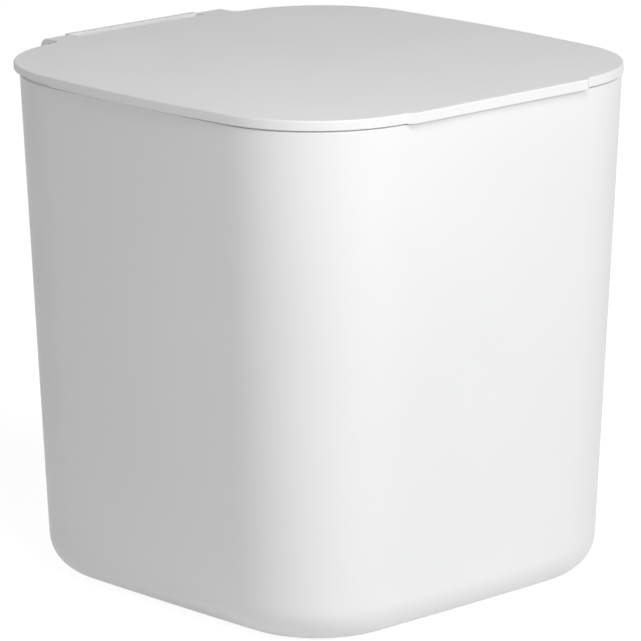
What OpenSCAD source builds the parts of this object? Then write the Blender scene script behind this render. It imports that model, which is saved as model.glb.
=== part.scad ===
// Countertop trash can with a lid hinged at the rear.
//
// A square, tapered body with rounded corners and gently bowed sides.
// A flat lid with a shallow skirt sits on the rim. It turns on two short
// pins in a bracket behind the body. When open, the bar along its rear edge
// leans on the bracket's shelf.
// Front is -Y, up is +Z, and the origin is on the counter, under the body's middle.
// All sizes are in millimetres.

/* [Body] */

// Height from the counter to the top of the closed lid
overall_h = 155; // [110:0.5:220]
// Width across the sides at the rim
body_top_w = 147.2; // [120:0.2:180]
// How much narrower the body is across its foot than at the rim
body_taper = 13.2; // [4:0.2:24]
// Radius of the upright corners at the rim
rim_corner_r = 35.5; // [24:0.5:45]
// Radius of the upright corners near the bottom
foot_corner_r = 31.5; // [20:0.5:40]
// How far the sides bow out past the corners at the rim
rim_bow = 0.75; // [0.65:0.05:1.2]
// How far the sides bow out past the corners near the bottom
foot_bow = 0.3; // [0.1:0.05:2]
// Radius of the rounded bottom edge
bottom_edge_r = 11.2; // [8:0.2:14]
// Thickness of the side walls
wall_t = 1.8; // [1.6:0.1:3]
// How far the rim steps in, to make room for the lid's skirt
rim_step = 0.75; // [0.7:0.05:0.9]
// Thickness of the floor
floor_t = 2.2; // [1.8:0.1:3.4]

/* [Lid] */

// How far the lid stands out past the body at the front and the sides
lid_over = 1.4; // [1.3:0.05:1.9]
// Gap between the inside of the skirt and the rim
skirt_gap = 0.3; // [0.3:0.05:0.4]
// Gap under the tab, down to the step of the body
seat_gap = 0.3; // [0.3:0.05:0.5]
// Extra overhang of the lid at the rear
rear_extra = 2; // [1:0.1:2.6]
// How much rounder the lid's corners are than the body's at the rim
corner_extra = 1; // [0.8:0.05:1.1]
// How far the lid's edges bow out past its corners
lid_bow = 1.6; // [1.2:0.05:1.7]
// Height of the lid's edge, from the bottom of the skirt to the top
lid_edge_h = 2.95; // [2.6:0.05:3.6]
// Thickness of the lid's flat plate
lid_plate_t = 1.5; // [1.2:0.05:1.6]
// How much shallower the skirt is along the rear
skirt_step = 0.9; // [0.4:0.1:1]
// Where the shallow part of the skirt starts, behind the middle
skirt_step_from = 36; // [20:1:50]
// Rounding of the lid's top edge
lid_edge_r = 0.5; // [0.3:0.05:0.8]

/* [Thumb tab] */

// Width of the straight edge of the thumb tab
tab_w = 69; // [50:1:80]
// Length of the slanted end on each side of the tab
tab_ramp = 2.2; // [0.5:0.1:4]
// How far the tab stands in front of the bowed edge's middle
tab_out = 0.05; // [0.05:0.05:3]
// How much deeper the tab is than the skirt
tab_drop = 0.1; // [0:0.05:0.6]
// How far the back of the tab stays in front of the inside of the skirt
tab_root = 0.25; // [0.15:0.05:0.4]

/* [Hinge] */

// Width over the two hinge knuckles of the lid
hinge_w = 71; // [70:1:84]
// Width of each knuckle
knuckle_w = 10; // [10:0.5:13]
// Outer radius of the knuckles
knuckle_r = 3; // [2.95:0.05:3.2]
// Radius of the hollow corner between a knuckle's side and the lid's rear edge
knuckle_root = 3; // [1:0.5:3.5]
// Distance from the rim's rear edge back to the hinge axis
hinge_back = 6.5; // [6.4:0.1:7.2]
// Radius of the hinge pins
pin_r = 1; // [0.8:0.05:1.05]
// Length of each hinge pin inside its knuckle
pin_hold = 9; // [7:0.5:9.5]
// Length of each hinge pin inside its cheek
pin_reach = 3; // [2:0.25:3.5]
// Radial clearance of a pin in its cheek
pin_clearance = 0.05; // [0.02:0.01:0.1]
// Radial squeeze of a pin in its knuckle
pin_squeeze = 0.02; // [0.01:0.01:0.04]
// Radius of the wide mouth at the outer end of a knuckle's bore
mouth_r = 2; // [1.4:0.1:2.3]
// Material around the bore of a cheek
cheek_rim = 0.95; // [0.8:0.05:1]
// Thickness of each cheek of the bracket
cheek_t = 3.6; // [3.5:0.1:5]
// Sideways gap between a cheek and its knuckle
side_gap = 0.3; // [0.2:0.05:0.5]
// Distance from the axis forward to the front edge of the lid's window
slot_edge = 1.8; // [1.8:0.05:2.4]
// Gap between the cheeks and the bar behind the window
bar_gap = 0.3; // [0.25:0.05:0.5]
// Thickness of the bar along the lid's rear edge
bar_t = 2.3; // [1.8:0.1:2.6]
// Depth of the shelf's top under the hinge axis
shelf_drop = 2.6; // [2.5:0.05:2.7]
// Distance from the axis forward to the rear edge of the shelf
shelf_edge = 0.9; // [0.9:0.05:1.2]
// Thickness of the shelf
shelf_t = 1.8; // [1.4:0.1:2]
// Length of the slanted foot of a cheek on the shelf
gusset = 3; // [1:0.5:4]
// Depth of the ribs that carry the shelf
rib_h = 16; // [10:1:26]
// Thickness of each rib
rib_t = 1.8; // [1.2:0.1:3]
// Distance from the middle one of the three ribs to the outer ones
rib_pitch = 22; // [14:1:23]

/* [Feet] */

// Radius of each rubber foot
foot_r = 7; // [4:0.5:9]
// Thickness of each rubber foot
foot_t = 1.3; // [1:0.1:1.6]
// How far a foot stands out under the floor
foot_out = 0.5; // [0.3:0.1:0.8]
// Distance of each foot from the middle, sideways and front to back
foot_at = 38; // [26:0.5:38]
// Radial clearance of a foot in its recess
foot_clearance = 0.1; // [0.05:0.01:0.15]

/* [Hidden] */

// Heights that follow from the sizes above.
rim_z = overall_h - lid_plate_t;
floor_z = foot_out;
skirt_z = overall_h - lid_edge_h;
tab_low = skirt_z - tab_drop;
seat_z = tab_low - seat_gap;
axis_z = overall_h - knuckle_r;
shelf_z = axis_z - shelf_drop;

// Half widths of the body and the lid, and where the lid's edges lie.
rim_half = body_top_w / 2;
foot_half = rim_half - body_taper / 2;
lid_half = rim_half + lid_over;
lid_corner_r = rim_corner_r + corner_extra;
lid_front = lid_half;
lid_rear = lid_half + rear_extra;
lid_mid = (lid_rear - lid_front) / 2;
lid_half_d = (lid_rear + lid_front) / 2;
skirt_in = rim_step - skirt_gap;
skirt_inner = rim_half - skirt_in;

// Hinge positions.
axis_y = rim_half + hinge_back;
slot_half = hinge_w / 2 - knuckle_w;
cheek_outer = slot_half - side_gap;
bore_r = pin_r + pin_clearance;
cheek_r = bore_r + cheek_rim;
pin_start = cheek_outer - pin_reach;
pin_end = slot_half + pin_hold;
bar_front = axis_y + cheek_r + bar_gap;
bar_back = bar_front + bar_t;
shelf_rear = axis_y - shelf_edge;
wall_bite = 0.6 * wall_t;

corner_steps = 12;
side_steps = 5;
fillet_steps = 6;
edge_steps = 4;
overlap = 0.02;
margin = 1;
$fn = 96;

white = [0.87, 0.87, 0.87];
steel = [0.7, 0.7, 0.72];
rubber = [0.75, 0.75, 0.75];

// Outline of a rounded rectangle whose sides are shallow arcs.
// ax and ay are the half sizes, r the corner radius, b the bow of the sides.
// The side arcs run into the corner arcs without a break.
function bow_r(c, r, b) = (c * c + b * b + 2 * b * r) / (2 * b);
function quarter(ax, ay, r, b) =
    let (cx = ax - r - b, cy = ay - r - b)
    let (big_y = bow_r(cx, r, b), big_x = bow_r(cy, r, b))
    let (turn_y = asin(cx / (big_y - r)), turn_x = asin(cy / (big_x - r)))
    concat(
        [for (i = [0 : side_steps - 1])
            let (a = 90 - turn_y * i / side_steps)
            [big_y * cos(a), ay - big_y + big_y * sin(a)]],
        [for (i = [0 : corner_steps])
            let (a = 90 - turn_y + (turn_x + turn_y - 90) * i / corner_steps)
            [cx + r * cos(a), cy + r * sin(a)]],
        [for (i = [1 : side_steps])
            let (a = turn_x * (1 - i / side_steps))
            [ax - big_x + big_x * cos(a), big_x * sin(a)]]);

// The whole outline, anticlockwise from the middle of the right side.
function outline(ax, ay, r, b) =
    let (q = quarter(ax, ay, r, b), n = len(q) - 1)
    concat(
        [for (i = [n : -1 : 1]) q[i]],
        [for (i = [0 : n - 1]) [-q[i][0], q[i][1]]],
        [for (i = [n : -1 : 1]) [-q[i][0], -q[i][1]]],
        [for (i = [0 : n - 1]) [q[i][0], -q[i][1]]]);

// One ring of points at height z, moved by dy.
function ring(pts, z, dy = 0) = [for (p = pts) [p[0], p[1] + dy, z]];

// A closed solid through a list of rings with the same number of points.
// The first and the last ring are closed with flat faces.
module loft(rings) {
    n = len(rings[0]);
    last = len(rings) - 1;
    points = [for (one = rings) for (p = one) p];
    sides = [for (k = [0 : last - 1]) for (i = [0 : n - 1])
        let (j = (i + 1) % n)
        for (half = [0, 1])
            half == 0
                ? [k * n + i, (k + 1) * n + j, (k + 1) * n + i]
                : [k * n + i, k * n + j, (k + 1) * n + j]];
    first_cap = [for (i = [n - 1 : -1 : 0]) i];
    last_cap = [for (i = [0 : n - 1]) last * n + i];
    polyhedron(points, concat([first_cap], sides, [last_cap]), convexity = 6);
}

// A profile drawn in Y and Z, and pushed along X from x over w.
module along_x(x, w) {
    translate([x, 0, 0])
        rotate([90, 0, 90])
            linear_extrude(w)
                children();
}

// A copy on each side of the middle.
module both_sides() {
    children();
    mirror([1, 0, 0])
        children();
}

// Body: share of the way from the floor's underside up to the rim.
function share(z) = (z - floor_z) / (rim_z - floor_z);
function mix(a, b, t) = a + (b - a) * t;
function body_half(z) = mix(foot_half, rim_half, share(z));
function body_r(z) = mix(foot_corner_r, rim_corner_r, share(z));
function body_bow(z) = mix(foot_bow, rim_bow, share(z));

// Outline of the body at height z, drawn in by the distance d.
function body_outline(z, d) =
    outline(body_half(z) - d, body_half(z) - d, body_r(z) - d, body_bow(z));

// Rings of the rounded bottom edge, from the flat bottom outwards.
// The edge has radius r, its lowest point is at z, and it lies d inside.
function edge_rings(z, r, d) =
    [for (i = [0 : fillet_steps])
        let (a = 90 * i / fillet_steps)
        let (up = z + r * (1 - cos(a)), inset = d + r * (1 - sin(a)))
        ring(body_outline(up, inset), up)];

module shell() {
    outside = edge_rings(floor_z, bottom_edge_r, 0);
    inside = edge_rings(floor_z + floor_t, bottom_edge_r - wall_t, wall_t);
    loft(concat(
        inside,
        [ring(body_outline(rim_z, wall_t), rim_z)],
        [ring(body_outline(rim_z, rim_step), rim_z)],
        [ring(body_outline(seat_z, rim_step), seat_z)],
        [ring(body_outline(seat_z, 0), seat_z)],
        [for (i = [fillet_steps : -1 : 0]) outside[i]]));
}

// Bracket behind the body: a shelf on three ribs, and two cheeks.
function bite(z) = body_half(z) - wall_bite;
module bracket() {
    shelf_low = shelf_z - shelf_t;
    along_x(-cheek_outer, 2 * cheek_outer)
        polygon([
            [bite(shelf_low), shelf_low],
            [shelf_rear, shelf_low],
            [shelf_rear, shelf_z],
            [bite(shelf_z), shelf_z]]);
    for (x = [-rib_pitch, 0, rib_pitch])
        along_x(x - rib_t / 2, rib_t)
            polygon([
                [bite(shelf_low - rib_h), shelf_low - rib_h],
                [shelf_rear - margin, shelf_low + overlap],
                [bite(shelf_low), shelf_low + overlap]]);
    both_sides()
        cheek();
}
module cheek() {
    along_x(cheek_outer - cheek_t, cheek_t) {
        translate([axis_y, axis_z])
            circle(r = cheek_r);
        polygon([
            [axis_y - cheek_r - gusset, shelf_z - overlap],
            [shelf_rear, shelf_z - overlap],
            [shelf_rear, axis_z],
            [axis_y - cheek_r, axis_z]]);
    }
}

module foot_places() {
    for (x = [-foot_at, foot_at])
        for (y = [-foot_at, foot_at])
            translate([x, y, 0])
                children();
}

module body() {
    color(white)
        difference() {
            union() {
                shell();
                bracket();
            }
            foot_places()
                cylinder(r = foot_r + foot_clearance, h = foot_t);
            translate([-slot_half, axis_y, axis_z])
                rotate([0, 90, 0])
                    cylinder(r = bore_r, h = 2 * slot_half);
        }
}

// Lid: one loft for the plate and the skirt, with the tab and knuckles added.
function lid_ring(z, d) =
    ring(outline(lid_half - d, lid_half_d - d, lid_corner_r - d, lid_bow), z, lid_mid);
function skirt_ring(z) =
    ring(outline(skirt_inner, skirt_inner, rim_corner_r - skirt_in, rim_bow), z);

module lid_plate() {
    top = [for (i = [0 : edge_steps])
        let (a = 90 * i / edge_steps)
        lid_ring(overall_h - lid_edge_r * (1 - sin(a)), lid_edge_r * (1 - cos(a)))];
    loft(concat(
        [for (i = [edge_steps : -1 : 0]) top[i]],
        [lid_ring(skirt_z, 0)],
        [skirt_ring(skirt_z)],
        [skirt_ring(rim_z)]));
}

module thumb_tab() {
    front = -lid_front - tab_out;
    back = -skirt_inner - tab_root;
    half = tab_w / 2;
    intersection() {
        along_x(-half - tab_ramp, tab_w + 2 * tab_ramp) {
            translate([front, tab_low])
                square([back - front, overall_h - lid_edge_r - tab_low]);
            translate([front + lid_edge_r, tab_low])
                square([back - front - lid_edge_r, overall_h - tab_low]);
            translate([front + lid_edge_r, overall_h - lid_edge_r])
                circle(r = lid_edge_r);
        }
        translate([0, 0, tab_low])
            linear_extrude(overall_h - tab_low)
                polygon([
                    [-half, front],
                    [half, front],
                    [half + tab_ramp, back],
                    [-half - tab_ramp, back]]);
    }
}

// A knuckle's profile runs from the skirt, round the axis, to the bar's back.
module knuckle() {
    low = skirt_z + skirt_step;
    along_x(slot_half, knuckle_w) {
        translate([skirt_inner, low])
            square([axis_y - skirt_inner, overall_h - low]);
        translate([axis_y, axis_z])
            circle(r = knuckle_r);
        translate([axis_y, axis_z - knuckle_r])
            square([bar_back - knuckle_r - axis_y, 2 * knuckle_r]);
        translate([bar_back - knuckle_r, axis_z])
            circle(r = knuckle_r);
    }
    translate([0, 0, low])
        linear_extrude(overall_h - low)
            knuckle_corner();
}

// The hollow corner at the outer side of a knuckle, seen from above.
module knuckle_corner() {
    side = hinge_w / 2;
    edge = lid_rear - lid_bow;
    difference() {
        translate([side - overlap, skirt_inner])
            square([knuckle_root + overlap, edge + knuckle_root - skirt_inner]);
        translate([side + knuckle_root, edge + knuckle_root])
            circle(r = knuckle_root);
    }
}
module rear_bar() {
    along_x(-slot_half, 2 * slot_half) {
        translate([bar_front, axis_z])
            square([bar_t - lid_edge_r, knuckle_r]);
        translate([bar_front, axis_z])
            square([bar_t, knuckle_r - lid_edge_r]);
        translate([bar_back - lid_edge_r, overall_h - lid_edge_r])
            circle(r = lid_edge_r);
    }
}
module knuckle_bore() {
    translate([slot_half - margin, axis_y, axis_z])
        rotate([0, 90, 0])
            cylinder(r = pin_r - pin_squeeze, h = margin + pin_hold + overlap);
    translate([pin_end, axis_y, axis_z])
        rotate([0, 90, 0])
            cylinder(r = mouth_r, h = knuckle_w - pin_hold + margin);
}

module lid() {
    color(white)
        difference() {
            union() {
                lid_plate();
                thumb_tab();
                rear_bar();
                translate([-hinge_w / 2, skirt_inner, rim_z])
                    cube([hinge_w, axis_y - slot_edge - skirt_inner, lid_plate_t]);
                both_sides()
                    knuckle();
            }
            translate([-lid_half - margin, skirt_step_from, skirt_z - margin])
                cube([2 * (lid_half + margin),
                      axis_y - knuckle_r - skirt_step_from,
                      margin + skirt_step]);
            both_sides()
                knuckle_bore();
        }
}

// Pins: pressed into the lid's knuckles, and free to turn in the cheeks.
module pin() {
    color(steel)
        translate([pin_start, axis_y, axis_z])
            rotate([0, 90, 0])
                cylinder(r = pin_r, h = pin_end - pin_start);
}
module hinge_pin_left() {
    mirror([1, 0, 0])
        pin();
}
module hinge_pin_right() {
    pin();
}

// Feet: four rubber discs glued into recesses under the floor.
module foot(x, y) {
    color(rubber)
        translate([x, y, 0])
            cylinder(r = foot_r, h = foot_t);
}
module foot_front_left() {
    foot(-foot_at, -foot_at);
}
module foot_front_right() {
    foot(foot_at, -foot_at);
}
module foot_rear_left() {
    foot(-foot_at, foot_at);
}
module foot_rear_right() {
    foot(foot_at, foot_at);
}

body();
lid();
hinge_pin_left();
hinge_pin_right();
foot_front_left();
foot_front_right();
foot_rear_left();
foot_rear_right();
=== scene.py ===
import bpy
import bmesh
import math
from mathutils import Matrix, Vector


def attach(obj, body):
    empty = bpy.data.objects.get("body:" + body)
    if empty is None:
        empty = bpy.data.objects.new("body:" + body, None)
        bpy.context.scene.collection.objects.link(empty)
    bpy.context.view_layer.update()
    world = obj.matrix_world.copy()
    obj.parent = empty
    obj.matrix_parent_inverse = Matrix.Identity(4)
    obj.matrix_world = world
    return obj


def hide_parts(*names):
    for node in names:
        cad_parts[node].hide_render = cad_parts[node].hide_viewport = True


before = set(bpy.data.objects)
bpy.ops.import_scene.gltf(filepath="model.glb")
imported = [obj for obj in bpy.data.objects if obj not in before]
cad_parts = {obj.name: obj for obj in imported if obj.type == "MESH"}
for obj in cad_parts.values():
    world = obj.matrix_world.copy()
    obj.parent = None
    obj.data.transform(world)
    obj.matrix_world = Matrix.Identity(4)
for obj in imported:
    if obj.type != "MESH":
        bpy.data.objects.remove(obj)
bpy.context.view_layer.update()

MM = 0.001

# Sizes of the part in millimetres, as in the solids.
# Front is -Y, up is +Z, and a name that ends in HALF is half a width.
H = 155.0
FLOOR_Z, FLOOR_T, WALL_T = 0.5, 2.2, 1.8
RIM_HALF, FOOT_HALF = 73.6, 67.0
RIM_R, FOOT_R = 35.5, 31.5
RIM_BOW, FOOT_BOW = 0.75, 0.3
EDGE_R = 11.2
PLATE_T, LID_EDGE_H, LID_EDGE_R = 1.5, 2.95, 0.5
RIM_STEP, SEAT_Z = 0.75, 151.65
RIM_Z = H - PLATE_T
SKIRT_Z = H - LID_EDGE_H
LID_HALF, LID_HALF_D, LID_MID = 75.0, 76.0, 1.0
LID_R, LID_BOW = 36.5, 1.6
SKIRT_IN, SKIRT_IN_R = 73.15, 35.05
SKIRT_STEP, SKIRT_FROM = 0.9, 36.0
EAR_LOW = SKIRT_Z + SKIRT_STEP
TAB_HALF, TAB_RAMP, TAB_FRONT, TAB_BACK, TAB_LOW = 34.5, 2.2, -75.05, -73.4, 151.95
AXIS_Y, AXIS_Z = 80.1, 152.0
KNUCKLE_R, KNUCKLE_ROOT, HINGE_HALF, SLOT_HALF = 3.0, 3.0, 35.5, 25.5
SLOT_Y, BAR_FRONT, BAR_BACK = 78.3, 82.4, 84.7
PIN_BORE, PIN_END, MOUTH_R = 0.98, 34.5, 2.0
BORE_R, CHEEK_R, CHEEK_OUT, CHEEK_T, GUSSET = 1.05, 2.0, 25.2, 3.6, 3.0
SHELF_Z, SHELF_T, SHELF_REAR = 149.4, 1.8, 79.2
RIB_H, RIB_T, RIB_AT, RIB_INSET = 16.0, 1.8, 22.0, 1.0
# Angle at which the round of a cheek meets the line of the shelf's rear edge.
CHEEK_TURN = -116.7
FOOT_DISC_R, FOOT_DISC_T, FOOT_AT, FOOT_CLEARANCE = 7.0, 1.3, 38.0, 0.1

# Softened edges, which the solids don't have.
RIM_SOFT, SEAT_SOFT, SKIRT_SOFT = 0.3, 0.15, 0.2
BRACKET_SOFT, CHEEK_SOFT, EAR_SOFT, BAR_SOFT, TAB_SOFT = 0.25, 0.15, 0.25, 0.2, 0.15

# How deep a piece reaches into its neighbour before they are joined.
BITE, SHELF_BITE, RIB_BITE = 0.6 * WALL_T, 0.4, 0.3
EAR_BITE, ROOT_BITE, BAR_BITE = 2.0, 1.0, 0.3
# How far a cutter stands out past what it cuts, and two bores reach into each other.
SPARE, TAB_SPARE, BORE_OVERLAP = 1.0, 0.001, 0.02


# ---------- outlines and lofts ----------

def quarter(ax, ay, r, b, side=10, corner=22):
    """A quarter of a rounded rectangle with bowed sides, from +Y round to +X."""
    cx, cy = ax - r - b, ay - r - b
    big_y = (cx * cx + b * b + 2 * b * r) / (2 * b)
    big_x = (cy * cy + b * b + 2 * b * r) / (2 * b)
    turn_y = math.asin(cx / (big_y - r))
    turn_x = math.asin(cy / (big_x - r))
    half = math.pi / 2
    pts = []
    for i in range(side):
        a = half - turn_y * i / side
        pts.append((big_y * math.cos(a), ay - big_y + big_y * math.sin(a)))
    for i in range(corner + 1):
        a = half - turn_y + (turn_x + turn_y - half) * i / corner
        pts.append((cx + r * math.cos(a), cy + r * math.sin(a)))
    for i in range(1, side + 1):
        a = turn_x * (1 - i / side)
        pts.append((ax - big_x + big_x * math.cos(a), big_x * math.sin(a)))
    return pts


def outline(ax, ay, r, b):
    """The whole outline, anticlockwise seen from above."""
    q = quarter(ax, ay, r, b)
    back = q[:0:-1]
    return (back + [(-x, y) for x, y in q[:-1]]
            + [(-x, -y) for x, y in back] + [(x, -y) for x, y in q[:-1]])


def ring(pts, z, dy=0.0):
    """Points of an outline in metres, at height z and moved back by dy."""
    return [(x * MM, (y + dy) * MM, z * MM) for x, y in pts]


def loft(name, rings):
    """A closed mesh through rings that have the same number of points."""
    n = len(rings[0])
    verts = [p for one in rings for p in one]
    faces = [list(range(n))[::-1]]
    for k in range(len(rings) - 1):
        for i in range(n):
            j = (i + 1) % n
            faces.append([k * n + i, k * n + j, (k + 1) * n + j, (k + 1) * n + i])
    faces.append([(len(rings) - 1) * n + i for i in range(n)])
    me = bpy.data.meshes.new(name)
    me.from_pydata(verts, [], faces)
    bm = bmesh.new()
    bm.from_mesh(me)
    bmesh.ops.recalc_face_normals(bm, faces=bm.faces)
    bm.to_mesh(me)
    bm.free()
    return add(name, me)


def add(name, me):
    """A new object in the scene, with the mesh me."""
    ob = bpy.data.objects.new(name, me)
    bpy.context.scene.collection.objects.link(ob)
    return ob


def arc(cx, cy, r, a0, a1, n):
    """Points on an arc, angles in degrees."""
    out = []
    for i in range(n + 1):
        a = math.radians(a0 + (a1 - a0) * i / n)
        out.append((cx + r * math.cos(a), cy + r * math.sin(a)))
    return out


def prism(name, profile, x0, x1, bevel=0.0, smooth_above=25.0):
    """A profile in Y and Z pushed along X, with its crisp edges softened."""
    bm = bmesh.new()
    a = [bm.verts.new((x0 * MM, y * MM, z * MM)) for y, z in profile]
    b = [bm.verts.new((x1 * MM, y * MM, z * MM)) for y, z in profile]
    bm.faces.new(a[::-1])
    bm.faces.new(b)
    n = len(profile)
    for i in range(n):
        j = (i + 1) % n
        bm.faces.new([a[i], a[j], b[j], b[i]])
    bmesh.ops.recalc_face_normals(bm, faces=bm.faces)
    if bevel:
        crisp = [e for e in bm.edges if len(e.link_faces) == 2
                 and e.calc_face_angle(0) > math.radians(smooth_above)]
        bmesh.ops.bevel(bm, geom=crisp, offset=bevel * MM, segments=3, profile=0.5,
                        affect="EDGES", clamp_overlap=True)
    me = bpy.data.meshes.new(name)
    bm.to_mesh(me)
    bm.free()
    return add(name, me)


def disc(name, x, y, z0, z1, r, n=64):
    """A plain upright disc, used to cut with."""
    pts = [(x + r * math.cos(2 * math.pi * i / n), y + r * math.sin(2 * math.pi * i / n))
           for i in range(n)]
    return loft(name, [ring(pts, z0), ring(pts, z1)])


def rod(name, x0, x1, y, z, r, n=40):
    """A plain rod along X, used to cut with."""
    return prism(name, arc(y, z, r, 0, 360 - 360 / n, n - 1), x0, x1)


def combine(ob, others, operation):
    """Joins the others to ob, or cuts them from it, and removes them."""
    for other in others:
        mod = ob.modifiers.new("cut", "BOOLEAN")
        mod.operation = operation
        mod.solver = "EXACT"
        mod.object = other
    bpy.context.view_layer.update()
    dg = bpy.context.evaluated_depsgraph_get()
    me = bpy.data.meshes.new_from_object(ob.evaluated_get(dg))
    ob.modifiers.clear()
    old = ob.data
    ob.data = me
    bpy.data.meshes.remove(old)
    for other in others:
        data = other.data
        bpy.data.objects.remove(other)
        bpy.data.meshes.remove(data)
    return ob


def finish_mesh(ob, angle=32.0):
    """Smooth shading with crisp edges kept, and normals that follow the large faces."""
    me = ob.data
    bm = bmesh.new()
    bm.from_mesh(me)
    bmesh.ops.remove_doubles(bm, verts=bm.verts, dist=2e-6)
    bm.to_mesh(me)
    bm.free()
    me.polygons.foreach_set("use_smooth", [True] * len(me.polygons))
    me.set_sharp_from_angle(angle=math.radians(angle))
    mod = ob.modifiers.new("normals", "WEIGHTED_NORMAL")
    mod.keep_sharp = True
    mod.weight = 60
    return ob


# ---------- body ----------

def share(z):
    """Share of the way from the floor's underside up to the rim."""
    return (z - FLOOR_Z) / (RIM_Z - FLOOR_Z)


def mix(a, b, t):
    """The value a share t of the way from a to b."""
    return a + (b - a) * t


def body_ring(z, d):
    """The body's outline at height z, drawn in by d."""
    t = share(z)
    half = mix(FOOT_HALF, RIM_HALF, t) - d
    r = mix(FOOT_R, RIM_R, t) - d
    return ring(outline(half, half, r, mix(FOOT_BOW, RIM_BOW, t)), z)


def edge_rings(z, r, d, n=14):
    """Rings of the rounded bottom edge, from the flat bottom outwards."""
    out = []
    for i in range(n + 1):
        a = math.radians(90 * i / n)
        out.append(body_ring(z + r * (1 - math.cos(a)), d + r * (1 - math.sin(a))))
    return out


def wall_rings(z0, z1, d, rows=10):
    """Rings between two heights, without those two heights themselves."""
    return [body_ring(z0 + (z1 - z0) * i / rows, d) for i in range(1, rows)]


def bite(z):
    """Where a piece of the bracket starts, inside the wall."""
    return mix(FOOT_HALF, RIM_HALF, share(z)) - BITE


def make_shell():
    """The tapered wall and floor in one loft, from inside over the rim to outside."""
    soft, half_soft = RIM_SOFT, SEAT_SOFT
    turns = [(math.sin(a), math.cos(a))
             for a in [math.radians(v) for v in (0, 22.5, 45, 67.5, 90)]]
    inside = edge_rings(FLOOR_Z + FLOOR_T, EDGE_R - WALL_T, WALL_T)
    outside = edge_rings(FLOOR_Z, EDGE_R, 0)
    rim = [body_ring(RIM_Z - soft + soft * up, WALL_T - soft + soft * out)
           for up, out in turns]
    rim += [body_ring(RIM_Z - soft + soft * up, RIM_STEP + soft - soft * out)
            for up, out in turns[::-1]]
    rim += [body_ring(SEAT_Z + half_soft, RIM_STEP),
            body_ring(SEAT_Z, RIM_STEP - half_soft)]
    rim += [body_ring(SEAT_Z - soft + soft * up, soft - soft * out)
            for up, out in turns[::-1]]
    low_in = FLOOR_Z + FLOOR_T + EDGE_R - WALL_T
    low_out = FLOOR_Z + EDGE_R
    return loft("bin_body", inside + wall_rings(low_in, RIM_Z - soft, WALL_T) + rim
                + wall_rings(low_out, SEAT_Z - soft, 0)[::-1] + outside[::-1])


def make_bracket():
    """The hinge bracket behind the body: shelf, three ribs and two cheeks."""
    low = SHELF_Z - SHELF_T
    shelf = [(bite(low), low), (SHELF_REAR, low), (SHELF_REAR, SHELF_Z),
             (bite(SHELF_Z), SHELF_Z)]
    parts = [prism("bracket", shelf, -CHEEK_OUT, CHEEK_OUT, BRACKET_SOFT)]
    rib = [(bite(low - RIB_H), low - RIB_H), (SHELF_REAR - RIB_INSET, low + RIB_BITE),
           (bite(low), low + RIB_BITE)]
    for x in (-RIB_AT, 0, RIB_AT):
        parts.append(prism("rib", rib, x - RIB_T / 2, x + RIB_T / 2, BRACKET_SOFT))
    gusset_front = AXIS_Y - CHEEK_R - GUSSET
    foot = SHELF_Z - SHELF_BITE
    cheek = (arc(AXIS_Y, AXIS_Z, CHEEK_R, CHEEK_TURN, 180, 40)
             + [(gusset_front, SHELF_Z), (gusset_front, foot), (SHELF_REAR, foot)])
    for s in (-1, 1):
        x0, x1 = sorted((s * (CHEEK_OUT - CHEEK_T), s * CHEEK_OUT))
        parts.append(prism("cheek", cheek, x0, x1, CHEEK_SOFT))
    return parts


def make_body():
    """Shell and bracket in one piece, with the bores and the feet's recesses cut."""
    recess_r = FOOT_DISC_R + FOOT_CLEARANCE
    shell = combine(make_shell(), make_bracket(), "UNION")
    cuts = [rod("bore", -SLOT_HALF, SLOT_HALF, AXIS_Y, AXIS_Z, BORE_R)]
    for x in (-FOOT_AT, FOOT_AT):
        for y in (-FOOT_AT, FOOT_AT):
            cuts.append(disc("recess", x, y, -SPARE, FOOT_DISC_T, recess_r))
    combine(shell, cuts, "DIFFERENCE")
    return finish_mesh(shell)


# ---------- lid ----------

def lid_ring(z, d):
    """The lid's outline at height z, drawn in by d."""
    return ring(outline(LID_HALF - d, LID_HALF_D - d, LID_R - d, LID_BOW), z, LID_MID)


def skirt_ring(z, d=0.0):
    """The inside of the skirt at height z, widened by d."""
    return ring(outline(SKIRT_IN + d, SKIRT_IN + d, SKIRT_IN_R + d, RIM_BOW), z)


def edge_turns(ring_at):
    """Rings of the rounded top edge, from the top down, as ring_at(height, inset)."""
    r = LID_EDGE_R
    return [ring_at(H - r * (1 - math.sin(a)), r * (1 - math.cos(a)))
            for a in [math.radians(v) for v in (90, 75, 60, 45, 30, 15, 0)]]


def make_plate():
    """The flat plate with its rounded edge and the skirt, in one loft."""
    soft = SKIRT_SOFT
    rings = edge_turns(lid_ring)
    rings += [lid_ring(SKIRT_Z + soft, 0), lid_ring(SKIRT_Z + 0.3 * soft, 0.3 * soft),
              lid_ring(SKIRT_Z, soft)]
    rings += [skirt_ring(SKIRT_Z, soft), skirt_ring(SKIRT_Z + soft), skirt_ring(RIM_Z)]
    return loft("bin_lid", rings)


def make_tab():
    """The thumb tab: a straight strip with a rounded top edge and slanted ends."""
    r = LID_EDGE_R
    wide = TAB_HALF + TAB_RAMP
    tab = prism("tab", [(TAB_BACK, TAB_LOW), (TAB_BACK, H)]
                + arc(TAB_FRONT + r, H - r, r, 90, 180, 8) + [(TAB_FRONT, TAB_LOW)],
                -wide, wide, TAB_SOFT, 40)
    front = TAB_FRONT - TAB_SPARE
    plan = [(-TAB_HALF, front), (TAB_HALF, front), (wide, TAB_BACK), (-wide, TAB_BACK)]
    limit = loft("limit", [ring(plan, TAB_LOW - SPARE), ring(plan, H + SPARE)])
    return combine(tab, [limit], "INTERSECT")


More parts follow.
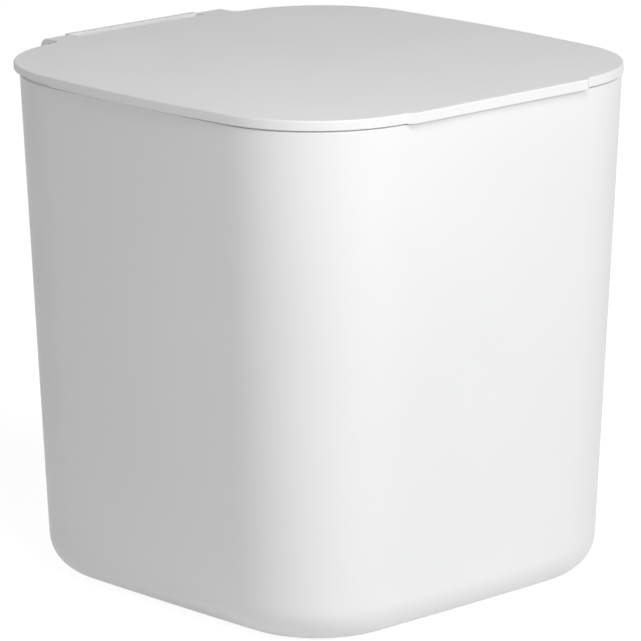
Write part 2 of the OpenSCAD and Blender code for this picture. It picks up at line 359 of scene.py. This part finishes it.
def ear_root(s, d):
    """Seen from above, the hollow corner at a knuckle's outer side, drawn in by d."""
    edge = LID_MID + LID_HALF_D - LID_BOW
    x, y, r = HINGE_HALF + KNUCKLE_ROOT, edge + KNUCKLE_ROOT, KNUCKLE_ROOT
    inner = HINGE_HALF - ROOT_BITE
    pts = arc(x, y, r + d, 270, 180, 16) + [(inner, y), (inner, SKIRT_IN), (x, SKIRT_IN)]
    return [(s * px, py) for px, py in pts]


def make_hinge_parts():
    """The rear of the lid: plate up to the window, knuckles, their corners, and bar."""
    start = SKIRT_IN - EAR_BITE
    plate = [(start, RIM_Z), (SLOT_Y, RIM_Z), (SLOT_Y, H), (start, H)]
    parts = [prism("rear", plate, -SLOT_HALF - EAR_BITE, SLOT_HALF + EAR_BITE, BAR_SOFT)]
    low_turn = math.degrees(math.asin((EAR_LOW - AXIS_Z) / KNUCKLE_R))
    ear = (arc(BAR_BACK - KNUCKLE_R, AXIS_Z, KNUCKLE_R, 90, -90, 36)
           + arc(AXIS_Y, AXIS_Z, KNUCKLE_R, -90, -180 - low_turn, 22)
           + [(start, EAR_LOW), (start, H)])
    for s in (-1, 1):
        x0, x1 = sorted((s * SLOT_HALF, s * HINGE_HALF))
        parts.append(prism("ear", ear, x0, x1, EAR_SOFT, 30))
        turns = edge_turns(lambda z, d: ring(ear_root(s, d), z))
        parts.append(loft("ear_root", [ring(ear_root(s, 0), EAR_LOW)] + turns[::-1]))
    bar = ([(BAR_FRONT, AXIS_Z), (BAR_FRONT, H)]
           + arc(BAR_BACK - LID_EDGE_R, H - LID_EDGE_R, LID_EDGE_R, 90, 0, 8)
           + [(BAR_BACK, AXIS_Z)])
    end = SLOT_HALF + BAR_BITE
    parts.append(prism("bar", bar, -end, end, BAR_SOFT, 30))
    return parts


def make_lid():
    """Plate, tab and hinge parts in one piece, with the skirt's step and the bores cut."""
    lid = combine(make_plate(), [make_tab()] + make_hinge_parts(), "UNION")
    knuckle_front = AXIS_Y - KNUCKLE_R
    step = [(SKIRT_FROM, SKIRT_Z - SPARE), (knuckle_front, SKIRT_Z - SPARE),
            (knuckle_front, EAR_LOW), (SKIRT_FROM, EAR_LOW)]
    wide = LID_HALF + 2 * SPARE
    cuts = [prism("step", step, -wide, wide)]
    for s in (-1, 1):
        for x0, x1, r in ((SLOT_HALF - SPARE, PIN_END + BORE_OVERLAP, PIN_BORE),
                          (PIN_END, HINGE_HALF + SPARE, MOUTH_R)):
            cuts.append(rod("bore", *sorted((s * x0, s * x1)), AXIS_Y, AXIS_Z, r))
    combine(lid, cuts, "DIFFERENCE")
    return finish_mesh(lid)


# ---------- feet ----------

def make_foot(name, x, y):
    """A rubber disc with a rounded edge and two shallow rings in its underside."""
    r, t = FOOT_DISC_R, FOOT_DISC_T
    half = [(0.0, 0.0), (2.0, 0.0), (2.2, 0.12), (2.8, 0.12), (3.0, 0.0), (4.6, 0.0),
            (4.8, 0.12), (5.4, 0.12), (5.6, 0.0), (r - 0.3, 0.0), (r - 0.09, 0.09),
            (r, 0.3), (r, t - 0.1), (r - 0.1, t), (0.0, t)]
    n = 72
    bm = bmesh.new()
    rows = []
    for d, z in half:
        if d == 0:
            rows.append([bm.verts.new((x * MM, y * MM, z * MM))])
        else:
            rows.append([bm.verts.new(((x + d * math.cos(2 * math.pi * i / n)) * MM,
                                       (y + d * math.sin(2 * math.pi * i / n)) * MM,
                                       z * MM)) for i in range(n)])
    for a, b in zip(rows, rows[1:]):
        for i in range(n):
            j = (i + 1) % n
            corners = [a[i % len(a)], b[i % len(b)], b[j % len(b)], a[j % len(a)]]
            face = []
            for v in corners:
                if v not in face:
                    face.append(v)
            bm.faces.new(face)
    bmesh.ops.recalc_face_normals(bm, faces=bm.faces)
    me = bpy.data.meshes.new(name)
    bm.to_mesh(me)
    bm.free()
    return finish_mesh(add(name, me), 40)


# ---------- materials ----------

# Most of a noise's values lie between these two.
NOISE_LOW, NOISE_HIGH = 0.3, 0.7


def new_material(name):
    """A material with its node tree and its shader."""
    mat = bpy.data.materials.new(name)
    mat.use_nodes = True
    tree = mat.node_tree
    return mat, tree, tree.nodes["Principled BSDF"]


def object_coords(tree):
    """Where a point lies on its own object, in metres."""
    return tree.nodes.new("ShaderNodeTexCoord").outputs["Object"]


def noise(tree, scale, detail, coords, rough=0.5):
    """A noise between 0 and 1, with its scale in waves per metre."""
    n = tree.nodes.new("ShaderNodeTexNoise")
    n.inputs["Scale"].default_value = scale
    n.inputs["Detail"].default_value = detail
    n.inputs["Roughness"].default_value = rough
    tree.links.new(coords, n.inputs["Vector"])
    return n.outputs["Fac"]


def ramp(tree, fac, dark, light):
    """A colour between two, by a noise."""
    r = tree.nodes.new("ShaderNodeValToRGB")
    first, last = r.color_ramp.elements
    first.position, first.color = NOISE_LOW, dark
    last.position, last.color = NOISE_HIGH, light
    tree.links.new(fac, r.inputs["Fac"])
    return r.outputs["Color"]


def spread(tree, fac, low, high):
    """A number between two, by a noise."""
    m = tree.nodes.new("ShaderNodeMapRange")
    m.inputs["From Min"].default_value = NOISE_LOW
    m.inputs["From Max"].default_value = NOISE_HIGH
    m.inputs["To Min"].default_value = low
    m.inputs["To Max"].default_value = high
    tree.links.new(fac, m.inputs["Value"])
    return m.outputs["Result"]


def bump(tree, height, distance, strength, before=None):
    """A fine relief, on top of the relief given as before."""
    b = tree.nodes.new("ShaderNodeBump")
    b.inputs["Distance"].default_value = distance
    b.inputs["Strength"].default_value = strength
    tree.links.new(height, b.inputs["Height"])
    if before is not None:
        tree.links.new(before, b.inputs["Normal"])
    return b.outputs["Normal"]


def white_plastic():
    """White moulded plastic: fine spark texture, faint flow tone, satin gloss."""
    mat, tree, bsdf = new_material("white_plastic")
    coords = object_coords(tree)
    tone = noise(tree, 14, 3, coords)
    colour = ramp(tree, tone, (0.845, 0.848, 0.850, 1), (0.872, 0.873, 0.872, 1))
    tree.links.new(colour, bsdf.inputs["Base Color"])
    tree.links.new(spread(tree, noise(tree, 55, 4, coords, 0.6), 0.40, 0.50),
                   bsdf.inputs["Roughness"])
    wave = bump(tree, noise(tree, 60, 2, coords), 0.00006, 0.5)
    grain = bump(tree, noise(tree, 2600, 2, coords, 0.6), 0.00002, 0.35, wave)
    tree.links.new(grain, bsdf.inputs["Normal"])
    bsdf.inputs["IOR"].default_value = 1.49
    return mat


def pin_steel():
    """Drawn steel wire, with fine scratches along its length."""
    mat, tree, bsdf = new_material("pin_steel")
    coords = object_coords(tree)
    stretch = tree.nodes.new("ShaderNodeMapping")
    stretch.inputs["Scale"].default_value = (60, 1, 1)
    tree.links.new(coords, stretch.inputs["Vector"])
    scratch = noise(tree, 300, 4, stretch.outputs["Vector"])
    colour = ramp(tree, scratch, (0.52, 0.52, 0.53, 1), (0.66, 0.66, 0.67, 1))
    tree.links.new(colour, bsdf.inputs["Base Color"])
    tree.links.new(spread(tree, scratch, 0.22, 0.38), bsdf.inputs["Roughness"])
    tree.links.new(bump(tree, scratch, 0.00001, 0.4), bsdf.inputs["Normal"])
    bsdf.inputs["Metallic"].default_value = 1.0
    return mat


def foot_rubber():
    """Grey rubber with a matte, grainy face."""
    mat, tree, bsdf = new_material("foot_rubber")
    coords = object_coords(tree)
    tone = noise(tree, 160, 4, coords)
    colour = ramp(tree, tone, (0.50, 0.50, 0.49, 1), (0.58, 0.58, 0.57, 1))
    tree.links.new(colour, bsdf.inputs["Base Color"])
    tree.links.new(spread(tree, tone, 0.68, 0.85), bsdf.inputs["Roughness"])
    tree.links.new(bump(tree, noise(tree, 1500, 3, coords), 0.00005, 0.5),
                   bsdf.inputs["Normal"])
    return mat


def wear(ob, mat):
    """Makes mat the only material of ob."""
    ob.data.materials.clear()
    ob.data.materials.append(mat)


plastic, steel, rubber = white_plastic(), pin_steel(), foot_rubber()

body = make_body()
wear(body, plastic)
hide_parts("body")
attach(body, "bin")

lid = make_lid()
wear(lid, plastic)
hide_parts("lid")
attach(lid, "cover")

for side, x in (("left", -FOOT_AT), ("right", FOOT_AT)):
    for end, y in (("front", -FOOT_AT), ("rear", FOOT_AT)):
        foot = make_foot(f"rubber_foot_{end}_{side}", x, y)
        wear(foot, rubber)
        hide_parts(f"foot_{end}_{side}")
        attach(foot, "bin")

for side in ("left", "right"):
    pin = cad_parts[f"hinge_pin_{side}"]
    for s in pin.material_slots:
        s.material = steel


# ---------- floor, light and camera ----------

# Half the length of the floor's sides, in metres.
FLOOR_HALF = 4.0
# What the floor gives off by itself, so that it shows white to the camera.
FLOOR_GLOW = 0.86
WORLD_LEVEL = 0.20
# Strength of the world where the camera or a mirrored ray sees it.
WORLD_SEEN = 1.0
LAMP_TARGET = (0, 0, 0.08)


def larger(tree, first, second):
    """The larger of two values of a node tree."""
    m = tree.nodes.new("ShaderNodeMath")
    m.operation = "MAXIMUM"
    tree.links.new(first, m.inputs[0])
    tree.links.new(second, m.inputs[1])
    return m.outputs[0]


def seen_rays(tree):
    """1 for a ray from the camera, a mirrored ray and a ray through glass, else 0."""
    path = tree.nodes.new("ShaderNodeLightPath").outputs
    shiny = larger(tree, path["Is Glossy Ray"], path["Is Transmission Ray"])
    return larger(tree, path["Is Camera Ray"], shiny)


def floor_material():
    """White floor that keeps the object's shadow, shown white to the camera."""
    mat = bpy.data.materials.new("floor_white")
    mat.use_nodes = True
    tree = mat.node_tree
    tree.nodes.remove(tree.nodes["Principled BSDF"])
    out = tree.nodes["Material Output"]
    plain = tree.nodes.new("ShaderNodeBsdfDiffuse")
    plain.inputs["Color"].default_value = (0.8, 0.8, 0.8, 1)
    shade = tree.nodes.new("ShaderNodeBsdfDiffuse")
    shade.inputs["Color"].default_value = (0.5, 0.5, 0.5, 1)
    glow = tree.nodes.new("ShaderNodeEmission")
    glow.inputs["Color"].default_value = (1, 1, 1, 1)
    glow.inputs["Strength"].default_value = FLOOR_GLOW
    both = tree.nodes.new("ShaderNodeAddShader")
    tree.links.new(shade.outputs[0], both.inputs[0])
    tree.links.new(glow.outputs[0], both.inputs[1])
    pick = tree.nodes.new("ShaderNodeMixShader")
    tree.links.new(seen_rays(tree), pick.inputs[0])
    tree.links.new(plain.outputs[0], pick.inputs[1])
    tree.links.new(both.outputs[0], pick.inputs[2])
    tree.links.new(pick.outputs[0], out.inputs["Surface"])
    return mat


def make_floor():
    """A large flat counter at height 0."""
    me = bpy.data.meshes.new("floor")
    s = FLOOR_HALF
    me.from_pydata([(-s, -s, 0), (s, -s, 0), (s, s, 0), (-s, s, 0)], [], [[0, 1, 2, 3]])
    ob = add("floor", me)
    me.materials.append(floor_material())


def make_world():
    """White surroundings: bright where they are seen, dimmer as a light."""
    world = bpy.data.worlds.new("studio")
    bpy.context.scene.world = world
    world.use_nodes = True
    tree = world.node_tree
    back = tree.nodes["Background"]
    back.inputs["Color"].default_value = (1, 1, 1, 1)
    level = tree.nodes.new("ShaderNodeMapRange")
    level.inputs["To Min"].default_value = WORLD_LEVEL
    level.inputs["To Max"].default_value = WORLD_SEEN
    tree.links.new(seen_rays(tree), level.inputs["Value"])
    tree.links.new(level.outputs["Result"], back.inputs["Strength"])


def area_light(name, place, target, size, power):
    """A rectangular lamp that faces its target, with its power in watts."""
    data = bpy.data.lights.new(name, "AREA")
    data.shape = "RECTANGLE"
    data.size, data.size_y = size
    data.energy = power
    ob = bpy.data.objects.new(name, data)
    bpy.context.scene.collection.objects.link(ob)
    place, target = Vector(place), Vector(target)
    ob.location = place
    ob.rotation_euler = (target - place).to_track_quat("-Z", "Y").to_euler()


make_floor()
make_world()
area_light("key", (0.12, -1.25, 0.72), LAMP_TARGET, (0.8, 0.7), 9.7)
area_light("left_side", (-1.3, -0.3, 0.30), LAMP_TARGET, (1.0, 0.5), 2.05)
area_light("left_low", (-0.75, -0.05, 0.07), (0, 0, 0.04), (0.9, 0.12), 0.18)
area_light("lid_over", (-0.17, -0.33, 0.48), (0, -0.05, 0.155), (0.25, 0.15), 0.79)

# The camera comes from a fit to the outline in the photograph.
cam_data = bpy.data.cameras.new("camera")
cam = bpy.data.objects.new("camera", cam_data)
bpy.context.scene.collection.objects.link(cam)
bpy.context.scene.camera = cam
cam_data.sensor_fit = "HORIZONTAL"
cam_data.sensor_width = 36.0
cam_data.lens = 274.315
cam_data.clip_start, cam_data.clip_end = 0.05, 20.0
cam.location = (-0.969564, -1.019037, 0.426127)
cam.rotation_euler = [math.radians(v) for v in (76.0348, 0.18277, -43.60945)]

bpy.context.scene.view_settings.view_transform = "Standard"

bpy.context.view_layer.update()
